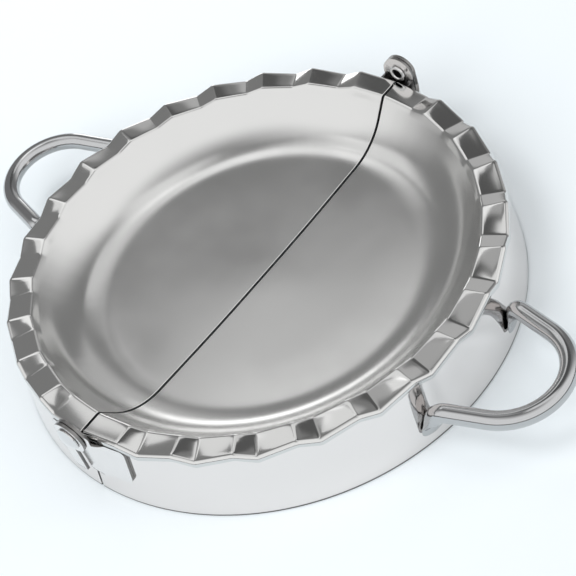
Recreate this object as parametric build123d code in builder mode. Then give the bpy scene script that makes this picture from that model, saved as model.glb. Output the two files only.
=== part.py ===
from build123d import *
from math import asin, cos, degrees, radians, sin, tan
import os

# Empanada press, open and flat as it stands on a table. Two half pans with a crimped rim fold
# together on a pair of riveted hinges, and each half carries a cutter skirt and a wire handle.
# Millimetres. Origin on the table under the middle, +X out through the right half's handle,
# +Y along the hinge line towards the far rivet, +Z up. The left half is the right half turned
# half a turn about Z, and the two crimped rims mesh when the press is folded.

# ---- driving dimensions ----
rim_radius = 74.0  # outer edge of the crimped rim
rim_width = 7.7  # from the bowl's mouth to the outer edge
rim_height = 22.5  # mean level of the rim's top above the table
split_gap = 0.55  # between the two halves along the hinge line
pan_sheet = 0.8  # bowl
rim_sheet = 0.7  # crimped rim, thinned by the forming
skirt_sheet = 0.7

bowl_depth = 14.1
wall_slope = 52.0  # bowl wall, degrees from level
floor_radius = 20.0  # flat middle of the bowl
floor_slope = 2.2  # rest of the floor, degrees from level
floor_corner = 20.0  # bend between floor and wall
wall_stub = 3.4  # length of wall that is formed with the crimped rim
stub_lap = 0.9  # the part of it inside the bowl's wall

crimp_count = 13  # steps in each half's rim
crimp_pitch = 13.04  # degrees from one step to the next
crimp_riser = 4.5  # degrees that a step's riser takes
crimp_height = 1.2  # crest above the mean level
mouth_share = 0.35  # height of the crimp at the mouth, as a share of that at the edge
mouth_bend = 1.3  # top face of the bend at the bowl's mouth
lip_bend = 1.3  # top face of the bend at the outer edge
lip_drop = 1.9  # turned-down lip, from the rim's top to the lip's edge

skirt_inset = 0.7  # skirt's top inside the lip
skirt_flare = 3.6  # skirt's foot outside its top
seat_gap = 0.05  # between faces that are welded together
skirt_top_gap = 0.1  # skirt's top edge under the crimp

wire_radius = 2.6
handle_drop = 7.0  # wire's middle below the rim
handle_reach = 13.0  # from the rim's edge to the middle of the loop
loop_radius = 14.2  # wire's middle line
neck_reach = 5.5  # from the rim's edge to where the legs start to spread
neck_bend = 5.0
foot_angle = 14.5  # feet on the skirt, degrees each side of the handle's middle
foot_bend = 3.1
foot_length = 4.0  # from the bend's corner down to where the wire starts to flatten
pad_length = 4.6
pad_sheet = 1.3
pad_crown = 0.1  # pad's middle off the skirt, whose curve its edges then clear
pad_width = 7.2

pivot_height = 2.0  # rivet's axis above the rim
ear_radius = 6.2
ear_offset = 1.2  # inner ear outside the rim's edge
leaf_sheet = 0.9
leaf_gap = 0.3  # between the two ears of a hinge
leaf_lip_gap = 0.3  # strap's upper edge below the lowest lip
leaf_height = 10.0  # strap's upper edge to its lower edge
leaf_length = 14.2  # from the hinge line to the strap's end
leaf_corner = 1.5
joggle_length = 3.4  # from the flat ear to where the leaf lies on the skirt

shank_radius = 2.0
shank_clearance = 0.05
rivet_play = 0.1  # under the head, and under the rolled tail
head_radius = 3.6
head_height = 1.4
head_edge = 0.4
tail_radius = 2.65
tail_height = 0.8
bore_radius = 1.55
bore_depth = 2.3
tail_roll = 0.35  # rounding of the rolled tail

# ---- derived dimensions ----
mouth_radius = rim_radius - rim_width
skirt_top_radius = rim_radius - rim_sheet - skirt_inset
inner_ear = rim_radius + ear_offset
outer_ear = inner_ear + leaf_sheet + leaf_gap
pivot_level = rim_height + pivot_height
leaf_top = rim_height - crimp_height - lip_drop - leaf_lip_gap
leaf_bottom = leaf_top - leaf_height
split_plane = Plane.YZ.offset(split_gap / 2)


def skirt_radius(level):
    """Outer radius of the skirt at a height above the table."""
    return skirt_top_radius + skirt_flare * (rim_height - level) / rim_height


def radial_plane(angle):
    """Upright plane out from the middle axis: local X outwards, local Y up from the rim."""
    outwards = (cos(radians(angle)), sin(radians(angle)), 0)
    sideways = (sin(radians(angle)), -cos(radians(angle)), 0)
    return Plane(origin=(0, 0, rim_height), x_dir=outwards, z_dir=sideways)


def sheet_outline(points, bends, sheet):
    """Corners and bend radii of a closed outline around sheet metal.

    The sheet's upper face runs through the points, left to right, and bends are that face's
    radii at the inner points. The lower face is the same line moved right by the sheet.
    """
    sides = []
    for (x0, y0), (x1, y1) in zip(points, points[1:]):
        run = ((x1 - x0) ** 2 + (y1 - y0) ** 2) ** 0.5
        sides.append(((y1 - y0) / run, (x0 - x1) / run))
    lower = [(points[0][0] + sides[0][0] * sheet, points[0][1] + sides[0][1] * sheet)]
    lower_bends = []
    for (x, y), before, after, bend in zip(points[1:], sides, sides[1:], bends):
        share = sheet / (1 + before[0] * after[0] + before[1] * after[1])
        lower.append((x + (before[0] + after[0]) * share, y + (before[1] + after[1]) * share))
        turns_left = before[0] * after[1] - before[1] * after[0] > 0
        if bend == 0:
            lower_bends.append(0)
        else:
            lower_bends.append(bend + sheet if turns_left else bend - sheet)
    lower.append((points[-1][0] + sides[-1][0] * sheet, points[-1][1] + sides[-1][1] * sheet))
    radii = [0, *bends, 0, 0, *reversed(lower_bends), 0]
    return [*points, *reversed(lower)], radii


def crimp_sections():
    """Angle, height and chord share of every section through the crimped rim.

    The rim's facets meet at the foot and the crest of each step. A wide facet has one more
    section halfway, where its straight chord lies inside the circle by the chord share.
    """
    breaks = [(-90.0, 0.0)]
    for step in range(crimp_count):
        middle = (step - (crimp_count - 1) / 2) * crimp_pitch
        breaks.append((middle - crimp_riser / 2, crimp_height))
        breaks.append((middle + crimp_riser / 2, -crimp_height))
    breaks.append((90.0, 0.0))
    sections = []
    for (start, low), (end, high) in zip(breaks, breaks[1:]):
        sections.append((start, low, 1.0))
        if end - start > crimp_riser * 1.2:
            half = (end - start) / 2
            sections.append((start + half, (low + high) / 2, cos(radians(half))))
    sections.append((*breaks[-1], 1.0))
    return sections


def rim_section(angle, height, share):
    """The rim cut across: a stub of bowl wall, the flat of the crimp and the turned-down lip."""
    along = (cos(radians(wall_slope)), sin(radians(wall_slope)))
    inset = (pan_sheet - rim_sheet) / 2
    root = (mouth_radius + along[1] * inset, -along[0] * inset)
    stub = [(root[0] - along[0] * s, root[1] - along[1] * s) for s in (wall_stub, wall_stub - stub_lap)]
    edge = rim_radius * share
    mouth = (mouth_radius * share, height * mouth_share)
    points = [*stub, mouth, (edge, height), (edge, height - lip_drop)]
    corners, radii = sheet_outline(points, [0, mouth_bend, lip_bend], rim_sheet)
    with BuildSketch(radial_plane(angle)) as section:
        with BuildLine():
            FilletPolyline(*corners, radius=radii, close=True)
        make_face()
    return section.sketch


def skirt_trim_section(angle, height, share):
    """The space that the crimped rim takes above the skirt's top edge, cut across."""
    under = rim_sheet + skirt_top_gap
    inside = (mouth_radius * share, height * mouth_share - under)
    outside = (rim_radius * share, height - under)
    with BuildSketch(radial_plane(angle)) as section:
        with BuildLine():
            Polyline(inside, outside, (outside[0], rim_height), (inside[0], rim_height), close=True)
        make_face()
    return section.sketch


# ---- pan: bowl with crimped rim ----
wall_run = tan(radians(wall_slope))
floor_run = tan(radians(floor_slope))
corner_radius = (mouth_radius * wall_run - floor_radius * floor_run - bowl_depth) / (wall_run - floor_run)
wall_end = mouth_radius - (wall_stub - stub_lap) * cos(radians(wall_slope))
bowl_points = [
    (0, -bowl_depth),
    (floor_radius, -bowl_depth),
    (corner_radius, (corner_radius - mouth_radius) * wall_run),
    (wall_end, (wall_end - mouth_radius) * wall_run),
]
bowl_corners, bowl_radii = sheet_outline(bowl_points, [0, floor_corner], pan_sheet)

with BuildPart() as right_pan:
    with BuildSketch(radial_plane(-90)):
        with BuildLine():
            FilletPolyline(*bowl_corners, radius=bowl_radii, close=True)
        make_face()
    revolve(axis=Axis.Z, revolution_arc=180)
    loft([rim_section(*section) for section in crimp_sections()], ruled=True)
    split(bisect_by=split_plane, keep=Keep.TOP)
right_pan.part.label = "right_pan"

with BuildPart() as left_pan:
    add(right_pan.part, rotation=(0, 0, 180))
left_pan.part.label = "left_pan"

# ---- skirt: flared cutter band under the rim, its top edge trimmed to the crimp ----
with BuildPart() as right_skirt:
    with BuildSketch(radial_plane(-90)):
        with BuildLine():
            Polyline(
                (skirt_radius(0), -rim_height),
                (skirt_top_radius, 0),
                (skirt_top_radius - skirt_sheet, 0),
                (skirt_radius(0) - skirt_sheet, -rim_height),
                close=True,
            )
        make_face()
    revolve(axis=Axis.Z, revolution_arc=180)
    loft([skirt_trim_section(*section) for section in crimp_sections()], ruled=True, mode=Mode.SUBTRACT)
    split(bisect_by=split_plane, keep=Keep.TOP)
right_skirt.part.label = "right_skirt"

with BuildPart() as left_skirt:
    add(right_skirt.part, rotation=(0, 0, 180))
left_skirt.part.label = "left_skirt"


# ---- hinge leaves: a strap on the skirt, joggled out to a flat ear with the rivet's hole ----
def leaf_solid(ear_distance):
    """Leaf of the right half at the near rivet, with the ear's inner face at a distance."""
    hole_radius = shank_radius + shank_clearance
    joggle_angle = -90 + degrees(asin((ear_radius + joggle_length) / rim_radius))
    end_angle = -90 + degrees(asin(leaf_length / rim_radius))
    strap = [
        (skirt_radius(level) + seat_gap + thickness, level - rim_height)
        for level, thickness in (
            (leaf_bottom, 0),
            (leaf_top, 0),
            (leaf_top, leaf_sheet),
            (leaf_bottom, leaf_sheet),
        )
    ]
    with BuildPart() as leaf:
        with BuildSketch(Plane.XZ.offset(ear_distance)):
            with Locations((0, pivot_level)):
                Circle(ear_radius)
            with BuildLine():
                Polyline(
                    (split_gap / 2, pivot_level),
                    (ear_radius, pivot_level),
                    (ear_radius, leaf_bottom),
                    (split_gap / 2, leaf_bottom),
                    close=True,
                )
            make_face()
            with Locations((0, pivot_level)):
                Circle(hole_radius, mode=Mode.SUBTRACT)
        extrude(amount=leaf_sheet)
        with BuildSketch(Plane.YZ.offset(ear_radius)) as flat_end:
            with BuildLine():
                Polyline(
                    (-ear_distance, leaf_bottom),
                    (-ear_distance, leaf_top),
                    (-ear_distance - leaf_sheet, leaf_top),
                    (-ear_distance - leaf_sheet, leaf_bottom),
                    close=True,
                )
            make_face()
        with BuildSketch(radial_plane(joggle_angle)) as strap_start:
            with BuildLine():
                Polyline(*strap, close=True)
            make_face()
        loft(ruled=True)
        with BuildSketch(radial_plane(joggle_angle)):
            with BuildLine():
                Polyline(*strap, close=True)
            make_face()
        revolve(axis=Axis.Z, revolution_arc=end_angle - joggle_angle)
        strap_end = leaf.edges().filter_by(GeomType.LINE).group_by(Axis.X)[-1]
        fillet(strap_end, leaf_corner)
    return leaf.part


with BuildPart() as right_near_leaf:
    add(leaf_solid(inner_ear))
right_near_leaf.part.label = "right_near_leaf"

with BuildPart() as right_far_leaf:
    add(leaf_solid(outer_ear))
    mirror(about=Plane.XZ, mode=Mode.REPLACE)
right_far_leaf.part.label = "right_far_leaf"

with BuildPart() as left_far_leaf:
    add(right_near_leaf.part, rotation=(0, 0, 180))
left_far_leaf.part.label = "left_far_leaf"

with BuildPart() as left_near_leaf:
    add(right_far_leaf.part, rotation=(0, 0, 180))
left_near_leaf.part.label = "left_near_leaf"

# ---- rivets: domed head outside, shank through both ears, hollow tail rolled over inside ----
grip = 2 * leaf_sheet + leaf_gap + rivet_play
tail_end = grip + tail_height
rivet_seat = outer_ear + leaf_sheet
rivet_plane = Plane(origin=(0, -rivet_seat, pivot_level), x_dir=(0, 0, 1), z_dir=(-1, 0, 0))

with BuildPart() as near_rivet:
    with BuildSketch(rivet_plane):
        with BuildLine():
            head_top = (0, -rivet_play - head_height)
            head_rim = (head_radius, -rivet_play - head_edge)
            TangentArc(head_top, head_rim, tangent=(1, 0))
            Polyline(head_rim, (head_radius, -rivet_play), (shank_radius, -rivet_play), (shank_radius, grip))
            FilletPolyline(
                (shank_radius, grip),
                (tail_radius, grip),
                (tail_radius, tail_end),
                (bore_radius, tail_end),
                (bore_radius, tail_end - bore_depth),
                (0, tail_end - bore_depth),
                radius=(tail_roll, tail_roll, tail_roll, 0),
            )
            Line((0, tail_end - bore_depth), head_top)
        make_face()
    revolve(axis=Axis((0, 0, pivot_level), (0, 1, 0)))
near_rivet.part.label = "near_rivet"

with BuildPart() as far_rivet:
    add(near_rivet.part, rotation=(0, 0, 180))
far_rivet.part.label = "far_rivet"


# ---- handles: bent wire with its two ends flattened against the skirt ----
def foot_frame(drop, standoff):
    """Point on the right handle's near foot, and the plane across the wire there."""
    level = rim_height - drop
    radius = skirt_radius(level) + standoff
    slope = skirt_flare / rim_height
    outwards = Vector(cos(radians(foot_angle)), -sin(radians(foot_angle)), 0)
    point = outwards * radius + Vector(0, 0, level)
    across = Vector(sin(radians(foot_angle)), cos(radians(foot_angle)), 0)
    return Plane(origin=point, x_dir=across, z_dir=outwards * slope + Vector(0, 0, -1))


handle_level = rim_height - handle_drop
loop_middle = rim_radius + handle_reach
wire_standoff = seat_gap + wire_radius
foot_drop = handle_drop + foot_length
foot = foot_frame(foot_drop, wire_standoff)

with BuildPart() as right_handle:
    with BuildLine() as wire_line:
        FilletPolyline(
            foot.origin,
            foot_frame(handle_drop, wire_standoff).origin,
            (rim_radius + neck_reach, -loop_radius, handle_level),
            (loop_middle, -loop_radius, handle_level),
            radius=(foot_bend, neck_bend),
        )
        mirror(about=Plane.XZ)
        ThreePointArc(
            (loop_middle, -loop_radius, handle_level),
            (loop_middle + loop_radius, 0, handle_level),
            (loop_middle, loop_radius, handle_level),
        )
    with BuildSketch(foot):
        Circle(wire_radius)
    sweep(path=wire_line.wire())
    with BuildSketch(foot):
        Circle(wire_radius)
    with BuildSketch(foot_frame(foot_drop + pad_length * 0.5, seat_gap + pad_crown + pad_sheet)):
        Ellipse(pad_width / 2, pad_sheet)
    with BuildSketch(foot_frame(foot_drop + pad_length, seat_gap + pad_crown + pad_sheet / 2)):
        Ellipse(pad_width / 2 - pad_sheet, pad_sheet / 2)
    pads = loft()
    mirror(pads, about=Plane.XZ)
right_handle.part.label = "right_handle"

with BuildPart() as left_handle:
    add(right_handle.part, rotation=(0, 0, 180))
left_handle.part.label = "left_handle"

# ---- write one STEP for each piece ----
os.makedirs("parts", exist_ok=True)
for piece in (
    right_pan,
    left_pan,
    right_skirt,
    left_skirt,
    right_handle,
    left_handle,
    right_near_leaf,
    right_far_leaf,
    left_near_leaf,
    left_far_leaf,
    near_rivet,
    far_rivet,
):
    export_step(piece.part, f"parts/{piece.part.label}.step")
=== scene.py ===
from math import asin, cos, pi, radians, sin

import bmesh
import bpy
import numpy as np
from mathutils import Matrix, Vector


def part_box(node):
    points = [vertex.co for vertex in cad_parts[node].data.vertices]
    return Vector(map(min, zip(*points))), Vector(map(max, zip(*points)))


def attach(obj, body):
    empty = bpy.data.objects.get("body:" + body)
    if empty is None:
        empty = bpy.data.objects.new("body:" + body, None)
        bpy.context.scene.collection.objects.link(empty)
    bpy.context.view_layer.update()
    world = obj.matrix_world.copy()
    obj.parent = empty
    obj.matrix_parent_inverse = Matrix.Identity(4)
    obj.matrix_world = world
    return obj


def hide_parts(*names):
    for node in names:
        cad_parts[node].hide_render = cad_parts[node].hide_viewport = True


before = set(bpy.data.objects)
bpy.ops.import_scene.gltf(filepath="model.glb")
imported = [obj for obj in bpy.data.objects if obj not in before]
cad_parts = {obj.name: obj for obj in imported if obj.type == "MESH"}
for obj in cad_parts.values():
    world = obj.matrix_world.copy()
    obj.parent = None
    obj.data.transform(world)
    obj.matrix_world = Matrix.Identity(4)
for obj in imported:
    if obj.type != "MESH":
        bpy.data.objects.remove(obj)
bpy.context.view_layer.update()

mm = 0.001  # shapes are worked out in millimetres, meshes are in metres


# Nodes and colours

def hexColour(text):
    # sRGB hex to linear: below 0.04045 a plain share, above it a power of 2.4
    channels = [int(text[i:i + 2], 16) / 255 for i in (1, 3, 5)]
    return (*[c / 12.92 if c <= 0.04045 else ((c + 0.055) / 1.055) ** 2.4 for c in channels], 1.0)


def addNode(tree, kind, settings=None, links=None):
    # One node with its settings and its incoming links. A key is an input's name or number, or a property.
    node = tree.nodes.new(kind)
    for key, value in (settings or {}).items():
        if isinstance(key, int) or key in node.inputs:
            node.inputs[key].default_value = value
        else:
            setattr(node, key, value)
    for key, source in (links or {}).items():
        tree.links.new(source, node.inputs[key])
    return node


def newMaterial(name):
    material = bpy.data.materials.new(name)
    material.use_nodes = True
    material.node_tree.nodes.clear()
    return material, material.node_tree


# Camera: on a sphere round its aim, level first and then rolled about its line of sight

cameraView = {
    "aim": (20.7, -8.3, 22.5),  # mm, on the rim's plane
    "distance": 395.9,  # mm from the aim
    "azimuth": -36.25,  # degrees from +X towards +Y
    "elevation": 46.5,
    "roll": -21.07,
    "lens": 90.0,  # mm, as is the sensor's width
    "sensor": 36.0,
}


def makeCamera(view):
    turn, lift = radians(view["azimuth"]), radians(view["elevation"])
    back = Vector((cos(lift) * cos(turn), cos(lift) * sin(turn), sin(lift)))
    right = Vector((0, 0, 1)).cross(back).normalized()
    level = Matrix((right, back.cross(right), back)).transposed()
    data = bpy.data.cameras.new("camera")
    data.lens, data.sensor_width = view["lens"], view["sensor"]
    data.clip_start, data.clip_end = 0.01, 20.0
    camera = bpy.data.objects.new("camera", data)
    camera.location = (Vector(view["aim"]) + back * view["distance"]) * mm
    camera.rotation_euler = (level @ Matrix.Rotation(radians(view["roll"]), 3, "Z")).to_euler()
    bpy.context.scene.collection.objects.link(camera)
    bpy.context.scene.camera = camera


makeCamera(cameraView)
print("camera placed")


# Surfaces

def roundedPath(corners, bends, arcPoints, runPoints):
    # A path through corners (second to last axis) with its inner corners rounded. Each rounding is a
    # rational quadratic from tangent point to tangent point whose middle weight is the cosine of half
    # the turn, which is a true arc. runPoints says how many points lie on each straight run.
    units = np.diff(corners, axis=-2)
    units = units / np.linalg.norm(units, axis=-1, keepdims=True)
    stretches = [corners[..., :1, :]]

    def straightTo(stop, count):
        share = (np.arange(count) + 1)[:, None] / (count + 1)
        start = stretches[-1][..., -1:, :]
        stretches.append(start + (stop[..., None, :] - start) * share)

    for i, (bend, points) in enumerate(zip(bends, arcPoints), 1):
        before, after, corner = units[..., i - 1, :], units[..., i, :], corners[..., i, :]
        cosine = (before * after).sum(-1, keepdims=True).clip(-0.9999, 1)
        weight = np.sqrt((1 + cosine) / 2)
        reach = bend * np.sqrt((1 - cosine) / 2) / weight
        start, stop = corner - before * reach, corner + after * reach
        straightTo(start, runPoints[i - 1])
        t = np.linspace(0, 1, points)[:, None]
        shares = (1 - t) ** 2, 2 * t * (1 - t) * weight[..., None, :], t ** 2
        arc = sum(share * place[..., None, :] for share, place in zip(shares, (start, corner, stop)))
        stretches.append(arc / sum(shares))
    straightTo(corners[..., -1, :], runPoints[-1])
    stretches.append(corners[..., -1:, :])
    return np.concatenate(stretches, -2)


def offsetLine(points, distance):
    # The same line moved to its right by a distance, with its corners at the mitres
    runs = np.diff(points, axis=-2)
    sides = np.stack((runs[..., 1], -runs[..., 0]), -1) / np.linalg.norm(runs, axis=-1, keepdims=True)
    before = np.concatenate((sides[..., :1, :], sides), -2)
    after = np.concatenate((sides, sides[..., -1:, :]), -2)
    return points + (before + after) * distance / (1 + (before * after).sum(-1, keepdims=True))


def gridFaces(columns, rows, wrapRows=False, wrapColumns=False):
    # Quads of a grid whose points are numbered column by column, along a column first
    i = np.arange(columns if wrapColumns else columns - 1)[:, None]
    j = np.arange(rows if wrapRows else rows - 1)[None, :]
    nextI, nextJ = (i + 1) % columns, (j + 1) % rows
    quad = (i * rows + j, i * rows + nextJ, nextI * rows + nextJ, nextI * rows + j)
    return np.stack([np.broadcast_to(q, (i.size, j.size)) for q in quad], -1).reshape(-1, 4).tolist()


def cutFaces(column, rows, flip):
    # The cut face of a sheet: quads between the points of one ring that lie opposite each other
    first = column * rows
    j = np.arange(rows // 2 - 1)
    quads = np.stack((j, j + 1, rows - 2 - j, rows - 1 - j), -1) + first
    return (quads[:, ::-1] if flip else quads).tolist()


def makePiece(name, points, faces, body, node, material, sharpAngle=30.0):
    # A mesh from points in millimetres. It rides on its body and stands for its CAD node.
    # Edges sharper than sharpAngle, in degrees, stay crisp.
    mesh = bpy.data.meshes.new(name)
    mesh.from_pydata((np.asarray(points, float).reshape(-1, 3) * mm).tolist(), [], faces)
    work = bmesh.new()
    work.from_mesh(mesh)
    bmesh.ops.remove_doubles(work, verts=work.verts, dist=0.0005 * mm)
    work.to_mesh(mesh)
    work.free()
    mesh.shade_smooth()
    mesh.set_sharp_from_angle(angle=radians(sharpAngle))
    mesh.materials.append(material)
    piece = bpy.data.objects.new(name, mesh)
    bpy.context.scene.collection.objects.link(piece)
    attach(piece, body)
    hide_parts(node)
    return piece


halfTurn = np.array((-1.0, -1.0, 1.0))  # the left half is the right one turned half a turn about Z
acrossMirror = np.array((1.0, -1.0, 1.0))  # near side to far side


def makePair(part, points, faces, material, sharpAngle=30.0):
    # One piece for the right half, and the same turned half a turn for the left
    for side, turn in (("right", 1), ("left", halfTurn)):
        makePiece(part + "_" + side, points * turn, faces, side + "_half", side + "_" + part,
                  material, sharpAngle)


def flipped(faces):
    return [face[::-1] for face in faces]


# The crimped rim, shared by pans and skirts

panLow, panHigh = (np.array(corner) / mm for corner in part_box("right_pan"))
skirtHigh = np.array(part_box("right_skirt")[1]) / mm
rivetLow, rivetHigh = (np.array(corner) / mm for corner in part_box("near_rivet"))

crimp = {
    "count": 13,  # steps in each half
    "pitch": 13.04,  # degrees from step to step
    "riser": 4.5,  # degrees that a riser takes
    "height": 1.2,  # crest above the mean level
    "mouthShare": 0.35,  # crimp height at the mouth
    "fold": 0.42,  # degrees each side over which a fold is rounded
}
pivotLevel = (rivetLow[2] + rivetHigh[2]) / 2  # the rivets' axis above the table
rimLevel = pivotLevel - 2.0  # mean level of the rim's top
rimRadius = panHigh[1]
cutX = panLow[0] + 0.14  # the cut face of the right half, its saw mark included


def crimpBreaks():
    steps = (np.arange(crimp["count"]) - (crimp["count"] - 1) / 2) * crimp["pitch"]
    angles = np.stack((steps - crimp["riser"] / 2, steps + crimp["riser"] / 2), -1).ravel()
    levels = np.tile((crimp["height"], -crimp["height"]), crimp["count"])
    past = 180 - angles[-1]  # the wave goes on across the cut
    angles = np.concatenate(([-past, -90], angles, [90, past]))
    return angles, np.concatenate(([-crimp["height"], 0], levels, [0, crimp["height"]]))


def crimpWave(angles):
    # Height: straight lines between the foot and crest of every step. Chord: a facet's edge is straight,
    # so it lies inside the circle by cos(half its width) / cos(angle from its middle). Both are running
    # means over the fold's width, which rounds the folds.
    breaks, levels = crimpBreaks()
    at = np.asarray(angles)[:, None] + crimp["fold"] * np.linspace(-1, 1, 9)
    facet = np.clip(np.searchsorted(breaks, at) - 1, 0, len(breaks) - 2)
    half = np.diff(breaks)[facet] / 2
    chord = np.cos(np.radians(half)) / np.cos(np.radians(at - breaks[facet] - half))
    return np.interp(at, breaks, levels).mean(1), chord.mean(1)


def crimpColumns(cutEdge):
    # Share of the half circle, cut plane and inset of each column. Columns lie close together across
    # each fold. The last one each side is the cut face, inset so that its edges are chamfered.
    breaks = crimpBreaks()[0][2:-2]
    across = crimp["fold"] * np.array((-2.4, -1.15, -0.75, -0.4, -0.1, 0.1, 0.4, 0.75, 1.15, 2.4))
    plain = np.linspace(-90, 90, 91)
    clear = np.abs(plain[:, None] - breaks).min(1) > crimp["fold"] * 2.6
    angles = np.sort(np.concatenate(((breaks[:, None] + across).ravel(), plain[clear])))
    angles = np.concatenate(([-90], angles, [90]))
    inset = np.zeros(len(angles))
    inset[[0, -1]] = cutEdge
    plane = np.full(len(angles), cutX + cutEdge)
    plane[[0, -1]] = cutX
    return angles, plane, inset


def spinSection(section, angles, plane):
    # Radius and height become x, y, z: the column's angle is its share of the angle at which a circle
    # of that radius meets the cut plane, so the last column lies on the plane
    radius = section[..., 0]
    turn = angles[:, None] / 90 * np.arccos(np.clip(plane[:, None] / radius, -1, 1))
    return np.stack((radius * np.cos(turn), radius * np.sin(turn), section[..., 1] + rimLevel), -1)


# Steel finishes

# Roughness as the shader takes it. A grain is in millimetres, and its depth is a share of the bump.
steel = {
    "bowl": {"colour": "#d2d2d1", "rough": 0.2, "grain": 0.6, "grainDepth": 0.05, "cloud": 18.0},
    "rim": {"rough": 0.1},
    # the skirt's dark colour near the table is painted contact shade along its foot
    "skirt": {"colour": "#e6e2e0", "rough": 0.07, "footShadeHeight": 0.6, "footShadeColour": "#555453"},
    "wire": {"colour": "#babbbc", "rough": 0.12},
    "leaf": {"colour": "#e6e4e3", "rough": 0.2},
    # leaf edges: rougher than the faces, and painted darker grey as shade
    "leafEdgeShade": {"colour": "#8a8988", "rough": 0.35},
    "rivet": {"colour": "#dadada", "rough": 0.08},
}


def satinBowlSteel():
    # 304 stainless sheet, deep drawn: the bowl keeps a fine satin grain that blurs what it reflects,
    # and the crimped rim outside the mouth is buffed bright. The real grain is finer than this one,
    # which is as coarse as it has to be to show.
    bowl, rim = steel["bowl"], steel["rim"]
    material, tree = newMaterial("satinStainlessPan")
    place = addNode(tree, "ShaderNodeTexCoord").outputs["Object"]
    flat = addNode(tree, "ShaderNodeVectorMath", {"operation": "MULTIPLY", 1: (1, 1, 0)}, {0: place})
    radius = addNode(tree, "ShaderNodeVectorMath", {"operation": "LENGTH"}, {0: flat.outputs[0]})
    mouth = (rimRadius - panShape["flatWidth"]) * mm
    polish = addNode(tree, "ShaderNodeMapRange", {
        "interpolation_type": "SMOOTHSTEP", "From Min": mouth - 0.4 * mm, "From Max": mouth + 0.9 * mm,
    }, {"Value": radius.outputs["Value"]})
    grain = addNode(tree, "ShaderNodeTexNoise", {
        "Scale": 1 / (bowl["grain"] * mm), "Detail": 3.0, "Roughness": 0.6,
    }, {"Vector": place})
    cloud = addNode(tree, "ShaderNodeTexNoise", {
        "Scale": 1 / (bowl["cloud"] * mm), "Detail": 2.0,
    }, {"Vector": place})
    satin = addNode(tree, "ShaderNodeMapRange", {
        "From Min": 0.3, "From Max": 0.7, "To Min": bowl["rough"] - 0.03, "To Max": bowl["rough"] + 0.03,
    }, {"Value": cloud.outputs["Fac"]})
    rough = addNode(tree, "ShaderNodeMix", {"data_type": "FLOAT", "B": rim["rough"]}, {
        "Factor": polish.outputs[0], "A": satin.outputs[0],
    })
    depth = addNode(tree, "ShaderNodeMapRange", {
        "To Min": bowl["grainDepth"], "To Max": 0.01,
    }, {"Value": polish.outputs[0]})
    bump = addNode(tree, "ShaderNodeBump", {"Distance": 0.05 * mm}, {
        "Strength": depth.outputs[0], "Height": grain.outputs["Fac"],
    })
    shader = addNode(tree, "ShaderNodeBsdfPrincipled", {
        "Base Color": hexColour(bowl["colour"]), "Metallic": 1.0,
    }, {"Roughness": rough.outputs[0], "Normal": bump.outputs[0]})
    addNode(tree, "ShaderNodeOutputMaterial", links={"Surface": shader.outputs[0]})
    return material


def polishedSteel(name, finish, waveSize, waveDepth):
    # Buffed stainless: near mirror, with the slow unevenness of pressed or bent stock in its reflections,
    # in waves of waveSize millimetres, and a haze of fine scratches. A finish with a dark colour and a
    # height, in millimetres above the table, is painted dark below that height: painted contact shade along
    # the foot.
    material, tree = newMaterial(name)
    place = addNode(tree, "ShaderNodeTexCoord").outputs["Object"]
    wave = addNode(tree, "ShaderNodeTexNoise", {
        "Scale": 1 / (waveSize * mm), "Detail": 1.0,
    }, {"Vector": place})
    haze = addNode(tree, "ShaderNodeTexNoise", {
        "Scale": 1 / (0.7 * mm), "Detail": 2.0,
    }, {"Vector": place})
    rough = addNode(tree, "ShaderNodeMapRange", {
        "From Min": 0.3, "From Max": 0.7, "To Min": finish["rough"] * 0.9, "To Max": finish["rough"] * 1.12,
    }, {"Value": haze.outputs["Fac"]})
    bump = addNode(tree, "ShaderNodeBump", {"Distance": 1.0 * mm, "Strength": waveDepth}, {
        "Height": wave.outputs["Fac"],
    })
    shader = addNode(tree, "ShaderNodeBsdfPrincipled", {
        "Base Color": hexColour(finish["colour"]), "Metallic": 1.0,
    }, {"Roughness": rough.outputs[0], "Normal": bump.outputs[0]})
    # painted contact shade: the base colour darkens below the given height above the table
    if "footShadeHeight" in finish:
        height = addNode(tree, "ShaderNodeSeparateXYZ", links={0: place}).outputs["Z"]
        polish = addNode(tree, "ShaderNodeMapRange", {
            "From Min": finish["footShadeHeight"] * 0.8 * mm, "From Max": finish["footShadeHeight"] * 1.2 * mm,
        }, {"Value": height})
        footShadeTint = addNode(tree, "ShaderNodeMix", {
            "data_type": "RGBA", "A": hexColour(finish["footShadeColour"]), "B": hexColour(finish["colour"]),
        }, {"Factor": polish.outputs[0]})
        tree.links.new(footShadeTint.outputs["Result"], shader.inputs["Base Color"])
    addNode(tree, "ShaderNodeOutputMaterial", links={"Surface": shader.outputs[0]})
    return material


# Pans: half a bowl with its crimped rim and turned-down lip

panShape = {
    "flatWidth": 7.7,  # from the bowl's mouth to the rim's outer edge
    "sheet": 0.7,
    "depth": 14.1,  # bowl below the rim
    "floorRadius": 20.0,  # level middle of the floor
    "floorBlend": 600.0,  # bend radii, all on the top face
    "floorSlope": 2.2,  # rest of the floor, degrees
    "cornerBend": 20.0,
    "wallSlope": 52.0,
    "fixedWall": 2.5,  # length of wall below the mouth that follows the crimp
    "wallBlend": 5.0,
    "mouthBend": 1.3,
    "lipBend": 1.3,
    "lipDrop": 1.9,  # from the rim's top to the lip's edge
    "lipEdge": 0.18,  # rounding of that edge
    "cutEdge": 0.12,  # chamfer round the cut face
}


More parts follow.
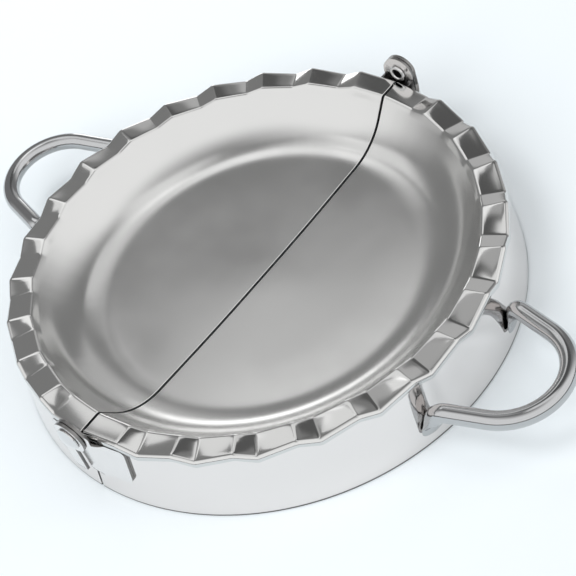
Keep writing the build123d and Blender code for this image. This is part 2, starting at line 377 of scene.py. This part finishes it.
def panRings():
    # One ring of points round the sheet for each column of the rim. The section's corners are the
    # bowl's axis, the end of its level floor, the floor's corner, the wall's top, the mouth, the rim's
    # edge and the lip's edge. The sheet's two faces are the same line, one moved by the sheet.
    shape = panShape
    angles, plane, inset = crimpColumns(shape["cutEdge"])
    height, chord = crimpWave(angles)
    mouth = rimRadius - shape["flatWidth"]
    wallRise, floorRise = np.tan(radians(shape["wallSlope"])), np.tan(radians(shape["floorSlope"]))
    corner = (mouth * wallRise - shape["floorRadius"] * floorRise - shape["depth"]) / (wallRise - floorRise)
    wallTop = mouth - shape["fixedWall"] * cos(radians(shape["wallSlope"]))
    one = np.ones(len(angles))
    line = np.stack([
        np.stack((plane, -shape["depth"] * one), -1),
        np.stack((shape["floorRadius"] * one, -shape["depth"] * one), -1),
        np.stack((corner * one, (corner - mouth) * wallRise * one), -1),
        np.stack((wallTop * one, (wallTop - mouth) * wallRise * one), -1),
        np.stack((mouth * chord, height * crimp["mouthShare"]), -1),
        np.stack((rimRadius * chord, height), -1),
        np.stack((rimRadius * chord, height - shape["lipDrop"] + inset), -1),
    ], 1)
    upper = offsetLine(line, inset[:, None, None])
    lower = offsetLine(line, shape["sheet"] - inset[:, None, None])
    bends = [shape[bend] for bend in ("floorBlend", "cornerBend", "wallBlend", "mouthBend", "lipBend")]
    inside = [b + shape["sheet"] for b in bends[:3]] + [b - shape["sheet"] for b in bends[3:]]
    arcs, runs = [9, 13, 4, 7, 9], [5, 10, 2, 1, 5, 2]  # points on each bend and each straight run
    return spinSection(roundedPath(
        np.concatenate((upper, lower[:, ::-1]), 1),
        [*bends, shape["lipEdge"], shape["lipEdge"], *inside[::-1]],
        [*arcs, 4, 4, *arcs[::-1]],
        [*runs, 0, *runs[::-1]],
    ), angles, plane)


def makePans():
    rings = panRings()
    columns, rows = rings.shape[:2]
    faces = gridFaces(columns, rows) + cutFaces(0, rows, True) + cutFaces(columns - 1, rows, False)
    makePair("pan", rings, faces, satinBowlSteel())
    print("pans made:", columns, "columns by", rows)


# Skirts: flared band whose top edge follows the crimp under the rim

skirtShape = {
    "sheet": 0.7,
    "footRadius": skirtHigh[0],
    "flare": 3.6,  # foot outside the top
    "gap": 0.1,  # top edge under the crimp
    "edge": 0.14,  # rounding of the sheet's edges
    "footEdge": 0.26,  # and of the foot's outer one, which is worn rounder
}


def skirtRadius(level):
    # Outer radius at a height above the table: a straight flare from foot to top
    return skirtShape["footRadius"] - skirtShape["flare"] * level / rimLevel


def skirtRings():
    # One ring of points round the band for each column of the rim: down its outer face, under the foot
    # and up its inner face, with a straight run between the roundings
    shape = skirtShape
    angles, plane, inset = crimpColumns(shape["edge"])
    height, chord = crimpWave(angles)
    mouth = rimRadius - panShape["flatWidth"]

    def topLevel(radius):
        # the rim's underside runs straight from the mouth to the outer edge
        share = (radius - mouth * chord) / ((rimRadius - mouth) * chord)
        rim = height * (crimp["mouthShare"] + (1 - crimp["mouthShare"]) * share)
        return rim + rimLevel - panShape["sheet"] - shape["gap"] - inset

    def point(thickness, level):
        return np.stack((skirtRadius(level) - thickness, level - rimLevel), -1)

    outer = topLevel(skirtRadius(rimLevel) * np.ones(len(angles)))
    inner = topLevel((skirtRadius(rimLevel) - shape["sheet"]) * np.ones(len(angles)))
    # the ring starts and ends near the middle of the top edge
    ring = np.stack([
        point(shape["sheet"] * 0.45, outer * 0.55 + inner * 0.45),
        point(inset, outer),
        point(inset, inset),
        point(shape["sheet"] - inset, inset),
        point(shape["sheet"] - inset, inner),
        point(shape["sheet"] * 0.55, outer * 0.45 + inner * 0.55),
    ], 1)
    edge = shape["edge"]
    bends = [edge, shape["footEdge"], edge, edge]
    return spinSection(roundedPath(ring, bends, [4] * 4, [0, 7, 0, 7, 0]), angles, plane)


def makeSkirts():
    rings = skirtRings()
    columns, rows = rings.shape[:2]
    faces = gridFaces(columns, rows, wrapRows=True)
    faces += cutFaces(0, rows, True) + cutFaces(columns - 1, rows, False)
    # buffed 304 sheet: mirrors the table, with a thin dark line of painted contact shade along its foot
    material = polishedSteel("polishedStainlessSkirt", steel["skirt"], 24.0, 0.02)
    makePair("skirt", rings, faces, material)
    print("skirts made:", columns, "columns by", rows)


# Handles: one bent wire each, its two ends flattened against the skirt

handleShape = {
    "wire": 2.6,  # radius
    "footDrop": 9.0,  # wire's middle below the rim, at the feet
    "loopDrop": 7.2,  # and at the far end of the loop
    "reach": 11.0,  # loop's middle outside the rim
    "loop": 16.2,  # radius of its middle line
    "footAngle": 14.8,  # feet each side of the handle's middle, degrees
    "footBend": 4.2,  # bend radius of the wire's middle line
    "footLength": 4.8,  # from the bend's corner down to the pad
    "padLength": 4.6,
    "padWidth": 7.2,
    "padSheet": 1.3,  # flattened wire
    "padFull": 0.45,  # share of the pad's length that is fully flat
    "padEase": 1.1,  # and the length over which it turns round again, as a share of the pad's
    "padTip": 1.6,  # length of its round end
    "tipSheet": 0.35,  # thickness left at the tip, as a share
    "seatGap": 0.12,
    "around": 40,  # points of a ring
}


def footPoint(drop, standoff):
    # A point of the near foot's line: so far below the rim and off the skirt
    shape = handleShape
    turn, level = radians(shape["footAngle"]), rimLevel - drop
    radius = skirtRadius(level) + standoff
    return np.array((radius * cos(turn), -radius * sin(turn), level))


def handleRings():
    # The wire's middle line, half of it: up the skirt, out, along a leg that is a tangent to the loop's
    # circle, and round the loop, rising evenly from the feet to its far end. Each ring is an ellipse
    # across the line. Towards the foot its thickness falls and its width grows by a smooth step, and
    # its middle keeps that thickness off the skirt. Last, it closes to a point.
    shape = handleShape
    wire, loop = shape["wire"], shape["loop"]
    middleX = rimRadius + shape["reach"]
    foot = footPoint(shape["footDrop"], shape["seatGap"] + wire)
    rise = (shape["footDrop"] - shape["loopDrop"]) / (middleX + loop - foot[0])
    apart = np.hypot(middleX - foot[0], foot[1])
    inwards = np.arctan2(-foot[1], middleX - foot[0]) - asin(loop / apart)  # the leg's turn off the X axis

    def onLoop(turn):
        x = middleX + loop * np.cos(turn)
        return np.stack((x, loop * np.sin(turn), foot[2] + rise * (x - foot[0])), -1)

    padEnd = shape["footDrop"] + shape["footLength"] + shape["padLength"]
    corners = np.array((
        footPoint(padEnd, shape["seatGap"] + wire),
        foot,
        onLoop(inwards - pi / 2),
    ))
    leg = roundedPath(corners, [shape["footBend"]], [14], [30, 12])
    line = np.concatenate((leg, onLoop(np.linspace(inwards - pi / 2, 0, 30)[1:])))
    along = np.gradient(line, axis=0)
    along[-1] = (0, 1, 0)
    along /= np.linalg.norm(along, axis=-1, keepdims=True)
    outwards = np.array((cos(radians(shape["footAngle"])), -sin(radians(shape["footAngle"])), 0))
    lean = np.array((0, 0, 1)) * cos(radians(50)) - outwards * sin(radians(50))  # never along the wire
    across = np.cross(lean, along)
    across /= np.linalg.norm(across, axis=-1, keepdims=True)
    over = np.cross(along, across)  # off the skirt at the foot, upwards on the loop
    run = np.concatenate(([0], np.cumsum(np.linalg.norm(np.diff(line, axis=0), axis=-1))))
    full, ease = shape["padLength"] * shape["padFull"], shape["padLength"] * shape["padEase"]
    share = np.clip(1 - (run - full) / ease, 0, 1)
    flat = share ** 2 * (3 - 2 * share)
    tip = np.sqrt(1 - np.clip(1 - run / shape["padTip"], 0, 1) ** 2)
    thickness = wire + (shape["padSheet"] / 2 - wire) * flat
    width = wire + (shape["padWidth"] / 2 - wire) * flat
    centre = line - outwards * (wire - thickness)[:, None]
    # the thin end keeps its face on the skirt
    thickness, width = thickness * np.clip(tip, shape["tipSheet"], 1), width * tip
    angle = np.linspace(0, 2 * np.pi, shape["around"], endpoint=False)
    ring = across[:, None] * (width[:, None] * np.cos(angle))[..., None]
    ring = ring + over[:, None] * (thickness[:, None] * np.sin(angle))[..., None]
    half = centre[:, None] + ring
    # past the loop's middle the same rings come back mirrored, with their points kept opposite
    back = (half * acrossMirror)[-2::-1]
    return np.concatenate((half, back))


def makeHandles():
    rings = handleRings()
    columns, rows = rings.shape[:2]
    faces = gridFaces(columns, rows, wrapRows=True)
    ends = [list(range(rows)), list(range((columns - 1) * rows, columns * rows))[::-1]]
    # drawn and polished wire: dark and bright lines run along it
    material = polishedSteel("polishedStainlessWire", steel["wire"], 30.0, 0.02)
    makePair("handle", rings, faces + ends, material, 60)
    print("handles made:", columns, "rings of", rows)


# Hinge leaves: strap on the skirt, joggled out to a flat ear with the rivet's hole

leafShape = {
    "earRadius": 5.2,
    "innerEar": 75.2,  # inner face, from the middle axis
    "outerEar": 76.4,
    "sheet": 0.9,
    "innerTop": 20.8,  # strap's top above the table. Each stays under the lip, which the crimp raises
    "outerTop": 19.1,  # on one side of the hinge.
    "bottom": 9.1,
    "length": 14.2,  # from the hinge line to the strap's end
    "endCorner": 1.5,
    "filletHeight": 1.6,  # between the ear's side and the strap's top
    "filletLength": 2.0,
    "joggle": 1.8,
    "joggleEase": 0.8,
    "holeRadius": 2.05,
    "seatGap": 0.06,
    "edge": 0.2,  # at most, since the bevel narrows itself where faces are small
    "weldRadius": 1.5,
    "weldDepth": 0.14,
    "welds": ((11.6, 15.6), (11.6, 12.4)),  # distance along the leaf and level
}


def leafPlace(flat, ear):
    # From distance along the leaf and height to the right near leaf: flat at the ear, on the flared
    # skirt at the strap, and a smooth step between them over the joggle
    shape = leafShape
    along, level = flat[..., 0], flat[..., 1]
    start, stop = shape["earRadius"] - shape["joggleEase"], shape["earRadius"] + shape["joggle"]
    share = np.clip((along - start) / (stop + shape["joggleEase"] - start), 0, 1)
    share = share ** 2 * (3 - 2 * share)
    radius = skirtRadius(level) + shape["seatGap"]
    turn = np.arcsin(along / rimRadius)
    onSkirt = np.stack((radius * np.sin(turn), -radius * np.cos(turn), level), -1)
    onEar = np.stack((along, -ear + 0 * along, level), -1)
    place = onEar * (1 - share[..., None]) + onSkirt * share[..., None]
    for weld in shape["welds"]:
        away = np.linalg.norm(flat - np.array(weld), axis=-1) / shape["weldRadius"]
        dent = shape["weldDepth"] * np.clip(1 - away ** 2, 0, 1) ** 2
        place[..., 1] += dent  # towards the middle axis
    return place


def leafSurface(ear, top):
    # Ear and tang: rays from the rivet's hole to the outline. Strap: rows from the ear's side to the
    # rounded end, its top falling from the ear's side by the square of the share left of the fillet.
    # Both share the points of the joint between them.
    shape = leafShape
    crown = top + shape["filletHeight"]
    levels = np.linspace(shape["bottom"], crown, 29) - pivotLevel
    foot = np.linspace(cutX, shape["earRadius"], 12)[:-1]
    low = shape["bottom"] - pivotLevel
    rise = np.linspace(crown - pivotLevel, 0, 9)[1:-1]
    turn = np.linspace(0, 2 * np.pi + np.arctan2(low, cutX) - 0.01, 72)
    outline = np.concatenate((
        np.stack((foot, low + 0 * foot), -1),
        np.stack((shape["earRadius"] + 0 * levels, levels), -1),
        np.stack((shape["earRadius"] + 0 * rise, rise), -1),
        shape["earRadius"] * np.stack((np.cos(turn), np.sin(turn)), -1),
    ))
    hole = outline / np.linalg.norm(outline, axis=-1, keepdims=True) * shape["holeRadius"]
    outwards = np.linspace(0, 1, 9)[None, :, None]
    rays = hole[:, None] + (outline - hole)[:, None] * outwards + np.array((0, pivotLevel))
    length, corner = shape["length"], shape["endCorner"]
    along = np.concatenate((
        np.linspace(shape["earRadius"], length - corner, 24),
        length - corner + corner * np.sin(np.linspace(0, np.pi / 2, 4)[1:]),
    ))
    trim = corner - np.sqrt(corner ** 2 - np.clip(along - length + corner, 0, corner) ** 2)
    fillet = np.clip(1 - (along - shape["earRadius"]) / shape["filletLength"], 0, 1) ** 2
    upper = top + shape["filletHeight"] * fillet - trim
    upwards = np.linspace(0, 1, 29)[None, :]
    level = (shape["bottom"] + trim)[:, None] * (1 - upwards) + upper[:, None] * upwards
    strap = np.stack((np.broadcast_to(along[:, None], level.shape), level), -1)
    points = np.concatenate((leafPlace(rays, ear).reshape(-1, 3), leafPlace(strap, ear).reshape(-1, 3)))
    faces = gridFaces(*rays.shape[:2], wrapColumns=True)
    faces += [[v + rays[..., 0].size for v in face] for face in flipped(gridFaces(*strap.shape[:2]))]
    return points, faces


def makeLeaves():
    # pressed and tumbled strip: bright but softer than the skirt. Its rougher sheared edges are painted
    # darker grey: painted shade for the dark lines round the strap's end and the ears.
    material = polishedSteel("pressedStainlessLeaf", steel["leaf"], 14.0, 0.03)
    edgeShade = polishedSteel("shadedLeafEdge", steel["leafEdgeShade"], 14.0, 0.03)
    inner, faces = leafSurface(leafShape["innerEar"], leafShape["innerTop"])
    outer = leafSurface(leafShape["outerEar"], leafShape["outerTop"])[0]
    for name, points, quads, body, node in (
        ("leaf_right_near", inner, faces, "right_half", "right_near_leaf"),
        ("leaf_right_far", outer * acrossMirror, flipped(faces), "right_half", "right_far_leaf"),
        ("leaf_left_near", outer * acrossMirror * halfTurn, flipped(faces), "left_half", "left_near_leaf"),
        ("leaf_left_far", inner * halfTurn, faces, "left_half", "left_far_leaf"),
    ):
        leaf = makePiece(name, points, quads, body, node, material)
        plate = leaf.modifiers.new("plate", "SOLIDIFY")
        plate.thickness, plate.offset, plate.use_even_offset = leafShape["sheet"] * mm, 1.0, True
        # the sheet's cut edges take the darker grey: painted shade along the leaf's edges
        leaf.data.materials.append(edgeShade)
        plate.material_offset_rim = 1
        edges = leaf.modifiers.new("edges", "BEVEL")
        edges.width, edges.segments, edges.material = leafShape["edge"] * mm, 2, 0
        edges.limit_method, edges.angle_limit = "ANGLE", radians(50)
    print("leaves made")


# Rivets: domed head outside, shank through both ears, hollow tail rolled over inside

rivetShape = {
    "seat": leafShape["outerEar"] + leafShape["sheet"],  # outer face of the hinge
    "shank": 2.0,  # radius
    "play": 0.1,  # under the head
    "grip": 2.2,  # from the seat to the tail
    "headRadius": 3.6,
    "headHeight": 1.4,
    "headEdge": 0.4,  # height of its upright edge
    "tailRadius": 2.65,
    "tailHeight": 0.8,
    "tailRoll": 0.35,  # rounding of the rolled tail
    "boreRadius": 1.55,
    "boreDepth": 2.3,
    "boreEnd": 0.06,  # radius of the face that closes it
    "around": 72,  # points of a ring
}


def rivetRings():
    # Radius and depth along the axis, from the head's top to the bottom of the bore. The dome is an arc.
    shape = rivetShape
    dome = shape["headHeight"] - shape["headEdge"]
    sphere = (shape["headRadius"] ** 2 + dome ** 2) / (2 * dome)
    turn = np.linspace(0, asin(shape["headRadius"] / sphere), 14)
    top = -shape["play"] - shape["headHeight"]
    crown = np.stack((sphere * np.sin(turn), sphere * (1 - np.cos(turn)) + top), -1)
    end = shape["grip"] + shape["tailHeight"]
    corners = np.array((
        crown[-1],
        (shape["headRadius"], -shape["play"]),
        (shape["shank"], -shape["play"]),
        (shape["shank"], shape["grip"]),
        (shape["tailRadius"], shape["grip"]),
        (shape["tailRadius"], end),
        (shape["boreRadius"], end),
        (shape["boreRadius"], end - shape["boreDepth"]),
        (shape["boreEnd"], end - shape["boreDepth"]),
    ))
    roll = shape["tailRoll"]
    # bends from the head's edge to the bore's bottom, the points on each, and those on the runs
    body = roundedPath(corners, [0.15, 0, 0, roll, roll, roll * 1.2, 0.1], [4, 1, 1, 5, 6, 6, 3], [1] * 8)
    profile = np.concatenate((crown[:-1], body))
    angle = np.linspace(0, 2 * np.pi, shape["around"], endpoint=False)
    radius, depth = profile[:, 0], profile[:, 1]
    return np.stack((
        radius * np.cos(angle)[:, None],
        (depth - shape["seat"]) + 0 * angle[:, None],
        pivotLevel + radius * np.sin(angle)[:, None],
    ), -1)


def makeRivets():
    rings = rivetRings()
    columns, rows = rings.shape[:2]
    faces = gridFaces(columns, rows, wrapColumns=True)
    faces.append([i * rows + rows - 1 for i in range(columns)][::-1])
    # nickel-plated steel: the brightest piece, a small mirror dome. Its bore is painted near black: painted
    # shade in the hollow.
    material = polishedSteel("nickelPlatedRivet", steel["rivet"], 4.0, 0.02)
    boreShade, tree = newMaterial("paintedShadeRivetBore")
    # painted shade: matt near-black in the bore, where the hollow would be in shade
    paint = addNode(tree, "ShaderNodeBsdfDiffuse", {"Color": hexColour("#161616")})
    addNode(tree, "ShaderNodeOutputMaterial", links={"Surface": paint.outputs[0]})
    axis = Vector((0, 0, pivotLevel * mm))
    for name, side, node in (("rivet_near", 1, "near_rivet"), ("rivet_far", halfTurn, "far_rivet")):
        rivet = makePiece(name, rings * side, faces, "right_half", node, material, 40)
        rivet.data.materials.append(boreShade)
        for face in rivet.data.polygons:
            away = face.center - axis
            # in the bore, and short of the seat, beyond which the head's dome lies
            inside = Vector((away.x, 0, away.z)).length < rivetShape["boreRadius"] * mm * 1.01
            face.material_index = int(inside and abs(away.y) < (rivetShape["seat"] - 0.2) * mm)
    print("rivets made")


makePans()
makeSkirts()
makeHandles()
makeLeaves()
makeRivets()


# Studio: pale floor, soft lamps, and a plain world that steel can reflect

studio = {
    "floorColour": "#f0f7fb",
    "floorSize": 12.0,  # metres
    "skyColour": "#fbfbfb",
    "skyLevel": 0.28,
    "farSide": 144.0,  # azimuth of the side away from the camera
}


def makeFloor():
    # matt painted board, level with the table
    material, tree = newMaterial("paleFloor")
    paint = addNode(tree, "ShaderNodeBsdfDiffuse", {"Color": hexColour(studio["floorColour"])})
    addNode(tree, "ShaderNodeOutputMaterial", links={"Surface": paint.outputs[0]})
    half = studio["floorSize"] / 2
    mesh = bpy.data.meshes.new("floor")
    corners = [(-half, -half, 0), (half, -half, 0), (half, half, 0), (-half, half, 0)]
    mesh.from_pydata(corners, [], [(0, 1, 2, 3)])
    mesh.materials.append(material)
    floor = bpy.data.objects.new("floor", mesh)
    bpy.context.scene.collection.objects.link(floor)


# Soft parts of the sky: middle and half width in degrees, and brightness. Azimuth is counted from the
# far side of the object. A later part lies over an earlier one.
skyPanels = (
    {"azimuth": 180, "halfAzimuth": 108, "elevation": 28, "halfElevation": 44, "soft": 20, "level": 1.2},
    {"azimuth": -50, "halfAzimuth": 40, "elevation": 78, "halfElevation": 13, "soft": 3, "level": 1.1},
    {"azimuth": 12, "halfAzimuth": 14, "elevation": 62, "halfElevation": 10, "soft": 3, "level": 0.55},
    {"azimuth": -25, "halfAzimuth": 20, "elevation": 53, "halfElevation": 11, "soft": 3, "level": 0.13},
    {"azimuth": -19, "halfAzimuth": 15, "elevation": 20, "halfElevation": 14, "soft": 3, "level": 0.62},
    {"azimuth": -6, "halfAzimuth": 8, "elevation": 9, "halfElevation": 7, "soft": 3, "level": 0.62},
    {"azimuth": 180, "halfAzimuth": 100, "elevation": 3, "halfElevation": 5, "soft": 2, "level": 0.08},
)

# Soft cards that stand round the object, seen only in what it reflects: place in degrees and metres,
# width and height in metres, and brightness
softCards = (
    {"name": "highCard", "azimuth": -7, "elevation": 56, "distance": 0.30,
     "size": (0.135, 0.075), "level": 0.76},
    {"name": "sideCard", "azimuth": 32, "elevation": 55.8, "distance": 0.30,
     "size": (0.095, 0.12), "level": 0.75},
    {"name": "lowCard", "azimuth": -2, "elevation": 9, "distance": 0.34,
     "size": (0.075, 0.11), "level": 2.0},
)


def makeWorld():
    world = bpy.data.worlds.new("studioWorld")
    bpy.context.scene.world = world
    world.use_nodes = True
    tree = world.node_tree
    tree.nodes.clear()
    way = addNode(tree, "ShaderNodeTexCoord").outputs["Generated"]
    turned = addNode(tree, "ShaderNodeVectorRotate", {
        "rotation_type": "Z_AXIS", "Angle": radians(-studio["farSide"]),
    }, {"Vector": way})
    axes = addNode(tree, "ShaderNodeSeparateXYZ", links={0: turned.outputs[0]}).outputs
    azimuth = addNode(tree, "ShaderNodeMath", {"operation": "ARCTAN2"}, {0: axes["Y"], 1: axes["X"]})
    elevation = addNode(tree, "ShaderNodeMath", {"operation": "ARCSINE"}, {0: axes["Z"]})

    def window(angle, middle, half, soft, wrap):
        # 1 inside the half width, 0 outside, with a smooth step between
        away = addNode(tree, "ShaderNodeMath", {
            "operation": "SUBTRACT", 1: radians(middle),
        }, {0: angle.outputs[0]})
        if wrap:
            away = addNode(tree, "ShaderNodeMath", {
                "operation": "WRAP", 1: radians(180), 2: radians(-180),
            }, {0: away.outputs[0]})
        size = addNode(tree, "ShaderNodeMath", {"operation": "ABSOLUTE"}, {0: away.outputs[0]})
        return addNode(tree, "ShaderNodeMapRange", {
            "interpolation_type": "SMOOTHSTEP",
            "From Min": radians(half + soft), "From Max": radians(half - soft),
        }, {"Value": size.outputs[0]})

    level = addNode(tree, "ShaderNodeValue")
    level.outputs[0].default_value = studio["skyLevel"]
    for panel in skyPanels:
        wide = window(azimuth, panel["azimuth"], panel["halfAzimuth"], panel["soft"], True)
        high = window(elevation, panel["elevation"], panel["halfElevation"], panel["soft"], False)
        share = addNode(tree, "ShaderNodeMath", {
            "operation": "MULTIPLY",
        }, {0: wide.outputs[0], 1: high.outputs[0]})
        level = addNode(tree, "ShaderNodeMix", {"data_type": "FLOAT", "B": panel["level"]}, {
            "Factor": share.outputs[0], "A": level.outputs[0],
        })
    sky = addNode(tree, "ShaderNodeBackground", {"Color": hexColour(studio["skyColour"])}, {
        "Strength": level.outputs[0],
    })
    addNode(tree, "ShaderNodeOutputWorld", links={"Surface": sky.outputs[0]})


def makeCard(card):
    # An evenly bright panel: its power is its brightness times its area times pi
    azimuth, elevation = radians(card["azimuth"] + studio["farSide"]), radians(card["elevation"])
    away = Vector((cos(elevation) * cos(azimuth), cos(elevation) * sin(azimuth), sin(elevation)))
    data = bpy.data.lights.new(card["name"], "AREA")
    data.shape = "RECTANGLE"
    data.size, data.size_y = card["size"]
    data.energy = card["level"] * pi * data.size * data.size_y
    lamp = bpy.data.objects.new(card["name"], data)
    lamp.location = away * card["distance"]
    lamp.rotation_euler = away.to_track_quat("Z", "Y").to_euler()
    lamp.visible_camera = False
    bpy.context.scene.collection.objects.link(lamp)


def makeLamp(name, place, power, size):
    # A round soft lamp that lights the floor, aimed at the object. Steel mirrors the sky and the cards
    # and not this lamp. Place and size in metres, power in watts.
    data = bpy.data.lights.new(name, "AREA")
    data.shape, data.size, data.energy = "DISK", size, power
    lamp = bpy.data.objects.new(name, data)
    lamp.location = place
    lamp.rotation_euler = (Vector((0, 0, 0.02)) - Vector(place)).to_track_quat("-Z", "Y").to_euler()
    lamp.visible_glossy = False
    bpy.context.scene.collection.objects.link(lamp)


makeFloor()
makeWorld()
for card in softCards:
    makeCard(card)
makeLamp("keyLamp", (-0.8, -1.0, 2.4), 14.0, 1.2)
makeLamp("fillLamp", (0.3, -1.9, 1.45), 12.0, 1.3)
bpy.context.scene.view_settings.view_transform = "Standard"
print("studio lit")
